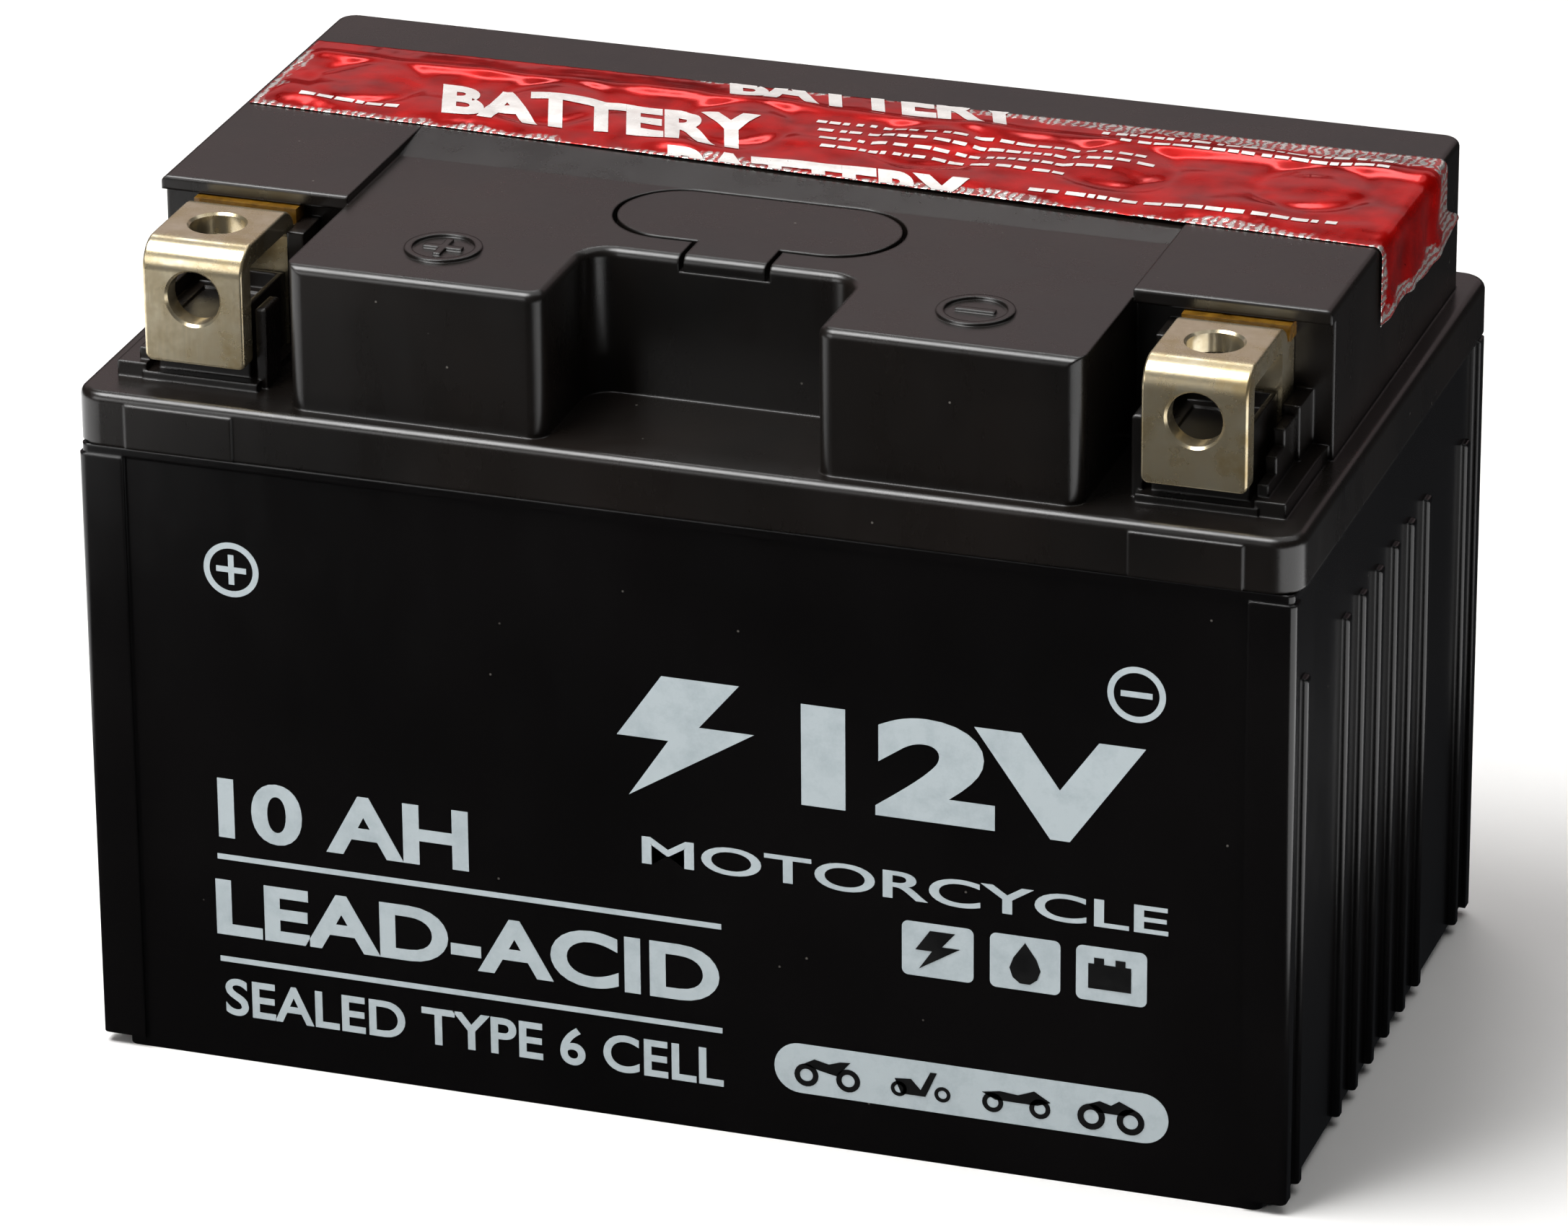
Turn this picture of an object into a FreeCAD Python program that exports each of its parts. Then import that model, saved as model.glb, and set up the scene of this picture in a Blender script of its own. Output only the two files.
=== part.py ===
import FreeCAD, Part
import os
import re
import Sketcher

# A sealed 12 V motorcycle battery, six cells, standing on its base.
# Origin: middle of the footprint, on the ground. +X runs to the negative
# terminal, +Y to the back, +Z up. All sizes are millimetres.

cell_count = 6
tolerance = 1e-3

doc = FreeCAD.newDocument("motorcycle_battery")
sheet = doc.addObject("Spreadsheet::Sheet", "Size")

dimensions = {
    # overall outline, given by the skirt of the cover
    "case_length": 150.0,
    "case_depth": 87.0,
    "case_height": 105.0,
    "skirt_corner": 3.4,
    "skirt_wall": 1.6,
    "skirt_bottom": 79.3,
    "deck_top": 85.9,
    "deck_bottom": 83.4,
    "rim_round": 1.1,
    "bay_pad": 0.25,
    "bay_inner": 54.8,
    "bay_outer": 68.4,
    # container
    "post_face_x": 74.6,
    "post_face_y": 43.1,
    "post_width": 5.6,
    "post_end_width": 2.4,
    "post_round": 0.8,
    "post_top": 77.9,
    "foot_height": 1.4,
    "foot_half_length": 71.5,
    "panel_x": 73.8,
    "panel_y": 42.5,
    "panel_round": 1.2,
    "flange_x": 74.3,
    "flange_y": 42.9,
    "flange_top": 79.1,
    "rim_x": 73.2,
    "rim_y": 41.8,
    "cavity_x": 71.2,
    "cavity_y": 40.0,
    "floor_top": 2.5,
    "partition": 1.5,
    "rib_width": 1.9,
    "rib_pitch": 7.35,
    "rib_outer": 36.4,
    "rib_top": 66.4,
    "rib_round": 0.5,
    # raised part of the cover
    "block_x": 72.2,
    "block_back": 39.3,
    "block_front": 19.0,
    "block_top": 105.0,
    "lip": 1.5,
    "lip_thickness": 1.7,
    "ramp_start": 3.5,
    "ramp_end": 4.5,
    "tower_outer": 48.5,
    "tower_inner": 16.65,
    "tower_front": 40.9,
    "tower_top": 104.0,
    "notch_back": 24.4,
    "notch_corner": 3.4,
    "edge_round": 1.1,
    "corner_round": 2.0,
    "back_round": 2.4,
    "top_round": 0.8,
    "lip_round": 0.35,
    "cover_wall": 2.2,
    # filler ports under the foil
    "port_y": 15.5,
    "port_radius": 5.6,
    "port_wall": 1.6,
    "port_depth": 13.0,
    # vent well, relief valve, flame arrestor and vent plate
    "vent_y": 11.5,
    "vent_length": 34.6,
    "vent_width": 15.0,
    "vent_thickness": 1.9,
    "vent_gap": 0.6,
    "vent_tab": 10.0,
    "vent_slit": 0.6,
    "vent_top": 104.05,
    "well_x": 7.0,
    "well_radius": 5.4,
    "well_floor": 91.0,
    "boss_radius": 8.0,
    "boss_bottom": 88.5,
    "nozzle_radius": 2.4,
    "nozzle_bore": 1.0,
    "nozzle_top": 96.0,
    "valve_radius": 4.2,
    "valve_gap": 0.1,
    "valve_bottom": 91.8,
    "valve_crown": 1.2,
    "arrestor_radius": 6.2,
    "arrestor_bottom": 98.6,
    "arrestor_height": 2.4,
    # terminals: a brass strip bent into a saddle
    "terminal_x": 61.1,
    "terminal_width": 12.6,
    "strip": 2.6,
    "bend": 3.4,
    "inner_bend": 0.7,
    "terminal_front": 38.6,
    "terminal_back": 21.65,
    "terminal_top": 103.8,
    "terminal_foot": 88.9,
    "leg_bottom": 79.5,
    "heel_back": 19.2,
    "heel_top": 101.2,
    "bolt_hole": 3.3,
    "hole_chamfer": 0.3,
    "front_hole_z": 97.3,
    "top_hole_y": 30.3,
    "strip_edge": 0.35,
    "strip_corner": 0.9,
    # plastic details of the terminal bays
    "step_top": 86.9,
    "base_step_top": 87.8,
    "cradle_top": 96.0,
    "nut_width": 10.4,
    "bolt_notch": 3.6,
    "guard_gap": 0.5,
    "guard_rib": 1.3,
    "guard_rib_top": 96.0,
    "pillar": 2.1,
    "pillar_top": 101.4,
    "outer_pillar_top": 94.6,
    "resin_top": 103.1,
    "slot_gap": 0.2,
    # polarity marks moulded on the towers
    "mark_x": 32.6,
    "mark_y": 30.4,
    "mark_radius": 4.6,
    "mark_line": 0.9,
    "mark_top": 104.35,
    # foil that seals the filler ports until the battery is filled
    "foil_front": 1.4,
    "foil_back": 28.6,
    "foil_left": 71.6,
    "foil_gap": 0.15,
    "foil_thickness": 0.25,
    "foil_flap_bottom": 94.6,
    # electrodes and lead work
    "plate_bottom": 3.5,
    "plate_height": 61.0,
    "plate_half_width": 38.5,
    "positive_plate": 1.9,
    "negative_plate": 1.5,
    "separator": 0.85,
    "separator_half_width": 39.5,
    "separator_height": 64.5,
    "lug_width": 9.0,
    "lug_y": 23.05,
    "strap_bottom": 69.5,
    "strap_top": 73.5,
    "strap_width": 11.0,
    "riser": 2.6,
    "riser_top": 81.6,
    "link_radius": 3.5,
    "link_z": 77.4,
    "post_block_x": 15.0,
    "post_block_y": 7.6,
    "post_block_top": 83.1,
}

for row, (alias, value) in enumerate(dimensions.items(), 1):
    sheet.set(f"A{row}", alias)
    sheet.set(f"B{row}", str(value))
    sheet.setAlias(f"B{row}", alias)
doc.recompute()


def formula(text):
    """The text with each dimension's name pointing at its cell."""

    def cell_of(word):
        return f"Size.{word[0]}" if word[0] in dimensions else word[0]

    return re.sub(r"[a-z][a-z_]+", cell_of, text)


def value_of(alias):
    return float(sheet.get(alias))


def box(name, x, y, z):
    """A block between a low and a high formula along each axis."""
    block = doc.addObject("Part::Box", name)
    for side, axis, (low, high) in (("Length", "x", x), ("Width", "y", y), ("Height", "z", z)):
        block.setExpression(side, formula(f"({high}) - ({low})"))
        block.setExpression(f"Placement.Base.{axis}", formula(low))
    return block


def cylinder(name, radius, x, y, z):
    """An upright cylinder between two heights."""
    rod = doc.addObject("Part::Cylinder", name)
    rod.setExpression("Radius", formula(radius))
    rod.setExpression("Height", formula(f"({z[1]}) - ({z[0]})"))
    for axis, place in (("x", x), ("y", y), ("z", z[0])):
        rod.setExpression(f"Placement.Base.{axis}", formula(place))
    return rod


def lying_cylinder(name, radius, start, length, turn):
    """A cylinder from a start point, laid over by the rotation given."""
    rod = doc.addObject("Part::Cylinder", name)
    rod.Placement.Rotation = turn
    rod.setExpression("Radius", formula(radius))
    rod.setExpression("Height", formula(length))
    for axis, place in zip("xyz", start):
        rod.setExpression(f"Placement.Base.{axis}", formula(place))
    return rod


def fuse(name, shapes):
    joined = doc.addObject("Part::MultiFuse", name)
    joined.Shapes = shapes
    joined.Refine = True
    return joined


def cut(name, base, tools):
    tool = tools[0] if len(tools) == 1 else fuse(f"{name}_tools", tools)
    rest = doc.addObject("Part::Cut", name)
    rest.Base = base
    rest.Tool = tool
    rest.Refine = True
    return rest


def group(name, shapes):
    """Separate solids that share one node."""
    pieces = doc.addObject("Part::Compound", name)
    pieces.Links = shapes
    return pieces


def fillet(name, base, rules):
    """Rounds each edge that a rule picks with that rule's radius."""
    doc.recompute()
    rounded = doc.addObject("Part::Fillet", name)
    rounded.Base = base
    picked = {}
    for number, edge in enumerate(base.Shape.Edges, 1):
        for choose, alias in rules:
            if number not in picked and choose(edge):
                picked[number] = value_of(alias)
    rounded.Edges = [(number, radius, radius) for number, radius in picked.items()]
    doc.recompute()
    return rounded


def ends(edge):
    return [vertex.Point for vertex in edge.Vertexes]


def upright(edge):
    points = ends(edge)
    return len(points) == 2 and abs(points[0].z - points[1].z) > 1 and (
        abs(points[0].x - points[1].x) + abs(points[0].y - points[1].y) < tolerance)


def along_x(edge):
    points = ends(edge)
    return len(points) == 2 and abs(points[0].x - points[1].x) > 1 and (
        abs(points[0].y - points[1].y) + abs(points[0].z - points[1].z) < tolerance)


def at_height(edge, height):
    return all(abs(point.z - height) < tolerance for point in ends(edge))


def mirrored(side, near, far):
    """A range between two distances from the middle, on the side given, low end first."""
    return (f"{near}", f"{far}") if side > 0 else (f"-({far})", f"-({near})")


def rounded_block(name, x, y, z, corner):
    """A block with its four upright edges rounded."""
    return fillet(f"{name}_rounded", box(name, x, y, z), [(upright, corner)])


def cell_side(cell, side):
    """Where a cell's wall stands: side 0 is its left wall, side 1 its right wall."""
    pitch = f"((2 * cavity_x + partition) / {cell_count})"
    return f"-cavity_x + {cell} * {pitch} + {side} * ({pitch} - partition)"


def cell_middle(cell):
    return f"(({cell_side(cell, 0)}) + ({cell_side(cell, 1)})) / 2"


def strap_side(cell, polarity):
    """-1 where this strap is at the front, 1 at the back: they alternate from cell to cell."""
    at_front = (cell % 2 == 0) == (polarity == "positive")
    return -1 if at_front else 1


def make_container():
    """The open box with its five partitions, corner posts, end ribs and welding rim."""
    foot = rounded_block("foot", ("-foot_half_length", "foot_half_length"), ("-panel_y", "panel_y"),
                         ("0", "foot_height + 1"), "panel_round")
    walls = rounded_block("walls", ("-panel_x", "panel_x"), ("-panel_y", "panel_y"),
                          ("foot_height", "flange_top"), "panel_round")
    flange = rounded_block("flange", ("-flange_x", "flange_x"), ("-flange_y", "flange_y"),
                           ("post_top", "flange_top"), "post_round")
    rim = rounded_block("rim", ("-rim_x", "rim_x"), ("-rim_y", "rim_y"),
                        ("flange_top", "deck_bottom"), "panel_round")
    solids = [foot, walls, flange, rim]
    rib_places = ("rib_outer", "2.5 * rib_pitch", "1.5 * rib_pitch", "0.5 * rib_pitch")
    for side_x in (-1, 1):
        for side_y in (-1, 1):
            solids.append(make_corner_post(side_x, side_y))
            for number, place in enumerate(rib_places):
                tag = f"{number}_{side_x + 1}_{side_y + 1}"
                solids.append(make_end_rib(side_x, f"{side_y} * {place}", tag))
    cells = [box(f"cell_space_{cell}", (cell_side(cell, 0), cell_side(cell, 1)), ("-cavity_y", "cavity_y"),
                 ("floor_top", "deck_bottom + 1")) for cell in range(cell_count)]
    windows = [make_link(cell, "window") for cell in range(cell_count - 1)]
    return cut("container", fuse("container_outside", solids), cells + windows)


def make_corner_post(side_x, side_y):
    """One of the four corner posts that stand a little proud of the panels."""
    name = f"corner_post_{side_x + 1}_{side_y + 1}"
    post = box(name, mirrored(side_x, "post_face_x - post_width", "post_face_x"),
               mirrored(side_y, "post_face_y - post_end_width", "post_face_y"), ("foot_height", "post_top"))
    outer_x = side_x * value_of("post_face_x")
    outer_y = side_y * value_of("post_face_y")

    def outer_corner(edge):
        point = ends(edge)[0]
        return upright(edge) and abs(point.x - outer_x) < tolerance and abs(point.y - outer_y) < tolerance

    return fillet(f"{name}_rounded", post, [(outer_corner, "post_round")])


def make_end_rib(side_x, place, tag):
    """One stiffening rib of an end wall, rounded along its outer edges and over its top."""
    rib = box(f"end_rib_{tag}", mirrored(side_x, "panel_x - 1", "post_face_x"),
              (f"{place} - rib_width / 2", f"{place} + rib_width / 2"), ("foot_height", "rib_top"))
    face = side_x * value_of("post_face_x")
    top = value_of("rib_top")

    def outer_edge(edge):
        on_face = all(abs(point.x - face) < tolerance for point in ends(edge))
        return on_face and (upright(edge) or at_height(edge, top))

    return fillet(f"end_rib_{tag}_rounded", rib, [(outer_edge, "rib_round")])


def make_link(cell, name):
    """The weld slug that joins two cells through their partition, or the window it fills."""
    side = strap_side(cell, "negative")
    along = FreeCAD.Rotation(FreeCAD.Vector(0, 1, 0), 90)
    start = (cell_side(cell, 1), f"{side} * lug_y", "link_z")
    return lying_cylinder(f"{name}_{cell}", "link_radius", start, "partition", along)


def make_cover_outside():
    """Skirt, deck, raised block and the two towers, as one solid with its edges rounded."""
    skirt = rounded_block("skirt", ("-case_length / 2", "case_length / 2"),
                          ("bay_pad - case_depth / 2", "case_depth / 2"), ("skirt_bottom", "deck_top"),
                          "skirt_corner")
    deck_top = value_of("deck_top")
    skirt = fillet("skirt_rim", skirt, [(lambda edge: at_height(edge, deck_top), "rim_round")])

    base = "deck_bottom"
    centre = box("tower_block", ("-tower_outer", "tower_outer"), ("-tower_front", "ramp_end"),
                 (base, "tower_top"))
    notch = rounded_block("notch", ("-tower_inner", "tower_inner"), ("-case_depth", "-notch_back"),
                          ("deck_top", "case_height + 5"), "notch_corner")
    towers = cut("towers", centre, [notch])
    terminal_blocks = [box(f"terminal_block_{side + 1}", mirrored(side, "tower_outer", "block_x"),
                           ("-block_front", "ramp_end"), (base, "block_top")) for side in (-1, 1)]
    lips = [box(f"lip_{side + 1}", mirrored(side, "tower_outer", "block_x"),
                ("-block_front - lip", "1 - block_front"),
                ("block_top - lip_thickness", "block_top")) for side in (-1, 1)]
    back = box("back_block", ("-block_x", "block_x"), ("ramp_end", "block_back"), (base, "block_top"))
    raised = fuse("raised_part", [towers, back, make_ramp()] + terminal_blocks + lips)
    raised = fillet("raised_part_rounded", raised, raised_edges())

    pads = [box(f"bay_pad_{side + 1}", mirrored(side, "bay_inner", "bay_outer"),
                ("-case_depth / 2", "1 - case_depth / 2"), ("skirt_bottom", "deck_top - rim_round"))
            for side in (-1, 1)]
    return fuse("cover_outside", [skirt, raised] + pads)


def make_ramp():
    """The short slope from the level of the towers up to the back block."""
    ramp = doc.addObject("Part::Wedge", "ramp")
    for side, text in (("Xmin", "-tower_outer"), ("Xmax", "tower_outer"), ("X2min", "-tower_outer"),
                       ("X2max", "tower_outer"), ("Ymin", "-ramp_start"), ("Ymax", "ramp_end"),
                       ("Zmin", "tower_top - 1"), ("Zmax", "tower_top"), ("Z2min", "tower_top - 1"),
                       ("Z2max", "block_top")):
        ramp.setExpression(side, formula(text))
    return ramp


def raised_edges():
    """Which edges of the raised part are rounded, and by which radius."""
    front = -value_of("tower_front")
    back = value_of("block_back")
    block_top = value_of("block_top")

    def tower_corner(edge):
        return upright(edge) and abs(ends(edge)[0].y - front) < tolerance

    def back_corner(edge):
        return upright(edge) and abs(ends(edge)[0].y - back) < tolerance

    def back_rim(edge):
        side = value_of("block_x") - tolerance
        outer = all(point.y > back - tolerance or abs(point.x) > side for point in ends(edge))
        return at_height(edge, block_top) and outer

    def tower_rim(edge):
        in_front = all(point.y < -value_of("notch_back") + 1.5 for point in ends(edge))
        return at_height(edge, value_of("tower_top")) and in_front

    def lip_edge(edge):
        lip_front = -value_of("block_front") - value_of("lip")
        on_lip = all(abs(point.y - lip_front) < tolerance for point in ends(edge))
        return at_height(edge, block_top) and on_lip

    return [(tower_corner, "corner_round"), (back_corner, "back_round"), (back_rim, "top_round"),
            (tower_rim, "edge_round"), (lip_edge, "lip_round")]


def make_cover():
    """The cover: its outside, hollowed over each cell, with ports, vent well and terminal bays."""
    outside = make_cover_outside()
    hollows = [box("rim_space", ("skirt_wall - case_length / 2", "case_length / 2 - skirt_wall"),
                   ("skirt_wall - case_depth / 2", "case_depth / 2 - skirt_wall"),
                   ("skirt_bottom - 1", "deck_bottom"))]
    for cell in range(cell_count):
        low = f"max({cell_side(cell, 0)}; cover_wall - block_x)"
        high = f"min({cell_side(cell, 1)}; block_x - cover_wall)"
        hollows.append(box(f"headroom_{cell}", (low, high),
                           ("cover_wall - block_front", "block_back - cover_wall"),
                           ("deck_bottom - 1", "tower_top - cover_wall")))
    for cell, low, high in ((1, "cover_wall - tower_outer", cell_side(1, 1)),
                            (2, cell_side(2, 0), "-tower_inner - cover_wall"),
                            (3, "tower_inner + cover_wall", cell_side(3, 1)),
                            (4, cell_side(4, 0), "tower_outer - cover_wall")):
        hollows.append(box(f"tower_space_{cell}", (low, high),
                           ("cover_wall - tower_front", "cover_wall - block_front + 1"),
                           ("deck_bottom - 1", "tower_top - cover_wall")))
    shell = cut("cover_shell", outside, hollows)

    port_low = "block_top - port_depth"
    additions = [cylinder(f"port_tube_{cell}", "port_radius + port_wall", cell_middle(cell), "port_y",
                          (port_low, "block_top - 1")) for cell in range(cell_count)]
    additions.append(cylinder("vent_boss", "boss_radius", "-well_x", "-vent_y",
                              ("boss_bottom", "vent_top - 3")))
    for side in (-1, 1):
        additions += bay_details(side)
    additions += polarity_marks()
    full = fuse("cover_full", [shell] + additions)

    openings = [cylinder(f"port_bore_{cell}", "port_radius", cell_middle(cell), "port_y",
                         (f"{port_low} - 1", "block_top + 1")) for cell in range(cell_count)]
    openings.append(vent_recess())
    openings.append(cylinder("well_wide", "arrestor_radius + valve_gap", "-well_x", "-vent_y",
                             ("arrestor_bottom", "vent_top")))
    well = cylinder("well", "well_radius", "-well_x", "-vent_y", ("well_floor", "vent_top"))
    nozzle = cylinder("nozzle", "nozzle_radius", "-well_x", "-vent_y", ("well_floor - 1", "nozzle_top"))
    openings.append(cut("well_round_nozzle", well, [nozzle]))
    openings.append(cylinder("nozzle_bore_hole", "nozzle_bore", "-well_x", "-vent_y",
                             ("boss_bottom - 1", "nozzle_top + 1")))
    for side in (-1, 1):
        openings.append(leg_slot(side))
        openings.append(nut_slot(side))
        openings.append(bolt_notch(side))
    return cut("cover", full, openings)


def bay_span(side, near, far):
    """A range in X beside a terminal, given by distances from its middle, away from the towers."""
    return mirrored(side, f"terminal_x + ({near})", f"terminal_x + ({far})")


def bay_details(side):
    """Step, nut cradle, guards and pillars moulded on the deck round one terminal."""
    half = "terminal_width / 2"
    tag = side + 1
    step = box(f"bay_step_{tag}", bay_span(side, f"-{half} - 1", f"{half} + 1"),
               ("-terminal_front + 1.2", "-block_front + 1"), ("deck_bottom", "step_top"))
    base_step = box(f"base_step_{tag}", bay_span(side, f"{half} + guard_gap", f"{half} + 4.2"),
                    ("-terminal_front + 1.4", "-block_front + 1"), ("deck_bottom", "base_step_top"))
    cradle = box(f"nut_cradle_{tag}", bay_span(side, f"-{half} + guard_gap", f"{half} - guard_gap"),
                 ("-terminal_front + strip + 0.3", "-terminal_back - strip - 0.2"),
                 ("deck_bottom", "cradle_top"))
    inner_rib = box(f"inner_guard_{tag}",
                    bay_span(side, f"-{half} - guard_gap - guard_rib", f"-{half} - guard_gap"),
                    ("-terminal_front + strip", "-terminal_front + 7"), ("deck_bottom", "guard_rib_top"))
    inner_rib = fillet(f"inner_guard_{tag}_rounded", inner_rib,
                       [(lambda edge: at_height(edge, value_of("guard_rib_top")), "strip_edge")])
    outer_steps = [box(f"outer_guard_{tag}_{number}",
                       bay_span(side, f"{half} + guard_gap", f"{half} + guard_gap + guard_rib"),
                       (f"-terminal_front + {2.6 + 3.4 * number}", "-terminal_back - strip - 0.6"),
                       ("deck_bottom", f"base_step_top + {1.5 + 2.1 * number}")) for number in range(3)]
    inner_span = bay_span(side, f"-{half} - slot_gap - pillar", f"-{half} - slot_gap")
    outer_span = bay_span(side, f"{half} + slot_gap", f"{half} + slot_gap + pillar")
    pillars = [box(f"pillar_{tag}_{place}", span, ("-terminal_back - strip - 0.4", "-block_front + 1"),
                   ("deck_bottom", top))
               for place, span, top in (("in", inner_span, "pillar_top"),
                                        ("out", outer_span, "outer_pillar_top"))]
    return [step, base_step, cradle, inner_rib] + outer_steps + pillars


def leg_slot(side):
    """The slot in the deck that the terminal's rear leg goes down through."""
    half = "terminal_width / 2 + slot_gap / 2"
    return box(f"leg_slot_{side + 1}", bay_span(side, f"-({half})", half),
               ("-terminal_back - strip - 0.1", "-terminal_back + 0.05"),
               ("deck_bottom - 2", "step_top + 0.5"))


def nut_slot(side):
    """The pocket on top of the cradle that keeps a square nut from turning."""
    return box(f"nut_slot_{side + 1}", bay_span(side, "-nut_width / 2", "nut_width / 2"),
               ("-terminal_front + strip + 0.9", "-terminal_back - strip - 0.8"),
               ("cradle_top - 2", "cradle_top + 1"))


def bolt_notch(side):
    """The notch in the cradle that the end of the front bolt reaches into."""
    return box(f"bolt_notch_{side + 1}", bay_span(side, "-bolt_notch", "bolt_notch"),
               ("-terminal_front + strip", "-terminal_back - strip - 2.2"),
               ("front_hole_z - bolt_notch", "cradle_top + 1"))


def polarity_marks():
    """A ring with a plus on the left tower and a ring with a minus on the right one."""
    marks = []
    for side, bars in ((-1, ("across", "along")), (1, ("across",))):
        x = f"{side} * mark_x"
        disc = cylinder(f"mark_disc_{side + 1}", "mark_radius", x, "-mark_y",
                        ("tower_top - 0.5", "mark_top"))
        hole = cylinder(f"mark_hole_{side + 1}", "mark_radius - mark_line", x, "-mark_y",
                        ("tower_top - 1", "mark_top + 1"))
        marks.append(cut(f"mark_ring_{side + 1}", disc, [hole]))
        for bar in bars:
            long_half = "mark_radius * 0.52"
            short_half = "mark_line / 2"
            half_x, half_y = (long_half, short_half) if bar == "across" else (short_half, long_half)
            marks.append(box(f"mark_{bar}_{side + 1}", (f"{x} - {half_x}", f"{x} + {half_x}"),
                             (f"-mark_y - {half_y}", f"-mark_y + {half_y}"),
                             ("tower_top - 0.5", "mark_top")))
    return marks


def vent_recess():
    """The shallow recess that the vent plate sits in, with the channel for its tab."""
    middle = doc.addObject("Part::Box", "vent_recess_middle")
    for side, text in (("Length", "vent_length - vent_width"), ("Width", "vent_width + 2 * vent_gap"),
                       ("Height", "6"), ("Placement.Base.x", "(vent_width - vent_length) / 2"),
                       ("Placement.Base.y", "-vent_y - vent_width / 2 - vent_gap"),
                       ("Placement.Base.z", "vent_top - vent_thickness - 0.05")):
        middle.setExpression(side, formula(text))
    rounds = [cylinder(f"vent_recess_end_{side + 1}", "vent_width / 2 + vent_gap",
                       f"{side} * (vent_length - vent_width) / 2", "-vent_y",
                       ("vent_top - vent_thickness - 0.05", "vent_top + 4")) for side in (-1, 1)]
    channel = box("vent_channel", ("-vent_tab / 2 - vent_slit", "vent_tab / 2 + vent_slit"),
                  ("-notch_back - 1", "-vent_y"), ("vent_top - vent_thickness - 0.05", "vent_top + 4"))
    return fuse("vent_recess", [middle, channel] + rounds)


def slot_sketch(body, name, plane_role):
    """An empty sketch on one of a body's own origin planes."""
    sketch = body.newObject("Sketcher::SketchObject", name)
    plane = next(feature for feature in body.Origin.OriginFeatures if feature.Role == plane_role)
    sketch.AttachmentSupport = [(plane, "")]
    sketch.MapMode = "FlatFace"
    return sketch


def make_vent_cover():
    """The oval plate over the vent, with a tab that reaches the edge of the notch."""
    body = doc.addObject("PartDesign::Body", "vent_cover")
    sketch = slot_sketch(body, "vent_outline", "XY_Plane")
    straight = (value_of("vent_length") - value_of("vent_width")) / 2
    radius = value_of("vent_width") / 2
    vector = FreeCAD.Vector
    up = vector(0, 0, 1)
    quarter = 1.5707963267948966
    right = Part.ArcOfCircle(Part.Circle(vector(straight, 0, 0), up, radius), -quarter, quarter)
    left = Part.ArcOfCircle(Part.Circle(vector(-straight, 0, 0), up, radius), quarter, 3 * quarter)
    top = Part.LineSegment(vector(straight, radius, 0), vector(-straight, radius, 0))
    bottom = Part.LineSegment(vector(-straight, -radius, 0), vector(straight, -radius, 0))
    sketch.addGeometry([right, top, left, bottom])
    for first, first_end, second, second_end in ((0, 2, 1, 1), (1, 2, 2, 1), (2, 2, 3, 1), (3, 2, 0, 1)):
        sketch.addConstraint(Sketcher.Constraint("Tangent", first, first_end, second, second_end))
    sketch.addConstraint(Sketcher.Constraint("Horizontal", 1))
    sketch.addConstraint(Sketcher.Constraint("Symmetric", 0, 3, 2, 3, -1, 1))
    sketch.addConstraint(Sketcher.Constraint("DistanceX", 2, 3, 0, 3, 2 * straight))
    sketch.setExpression("Constraints[6]", formula("vent_length - vent_width"))
    sketch.addConstraint(Sketcher.Constraint("Radius", 0, radius))
    sketch.setExpression("Constraints[7]", formula("vent_width / 2"))
    pad = body.newObject("PartDesign::Pad", "vent_plate")
    pad.Profile = sketch
    pad.setExpression("Length", formula("vent_thickness"))
    doc.recompute()

    tab = slot_sketch(body, "vent_tab_outline", "XY_Plane")
    half = value_of("vent_tab") / 2
    reach = value_of("notch_back") - value_of("vent_y")
    corners = [vector(-half, -reach, 0), vector(half, -reach, 0), vector(half, 0, 0), vector(-half, 0, 0)]
    for start, stop in zip(corners, corners[1:] + corners[:1]):
        tab.addGeometry(Part.LineSegment(start, stop))
    for corner in range(4):
        tab.addConstraint(Sketcher.Constraint("Coincident", corner, 2, (corner + 1) % 4, 1))
    for side in (0, 2):
        tab.addConstraint(Sketcher.Constraint("Horizontal", side))
        tab.addConstraint(Sketcher.Constraint("Vertical", side + 1))
    tab.addConstraint(Sketcher.Constraint("Symmetric", 2, 1, 2, 2, -1, 1))
    tab.addConstraint(Sketcher.Constraint("DistanceX", 0, 1, 0, 2, 2 * half))
    tab.setExpression("Constraints[9]", formula("vent_tab"))
    tab.addConstraint(Sketcher.Constraint("DistanceY", 1, 1, 1, 2, reach))
    tab.setExpression("Constraints[10]", formula("notch_back - vent_y"))
    tab_pad = body.newObject("PartDesign::Pad", "vent_tab_pad")
    tab_pad.Profile = tab
    tab_pad.setExpression("Length", formula("vent_thickness"))
    doc.recompute()
    top = value_of("vent_thickness")
    front_edges = [f"Edge{number}" for number, edge in enumerate(tab_pad.Shape.Edges, 1)
                   if at_height(edge, top) and all(abs(point.y + reach) < tolerance for point in ends(edge))]
    tab_round = body.newObject("PartDesign::Fillet", "vent_tab_round")
    tab_round.Base = (tab_pad, front_edges)
    tab_round.setExpression("Radius", formula("edge_round"))
    body.Tip = tab_round
    body.setExpression("Placement.Base.y", formula("-vent_y"))
    body.setExpression("Placement.Base.z", formula("vent_top - vent_thickness"))
    return body


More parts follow.
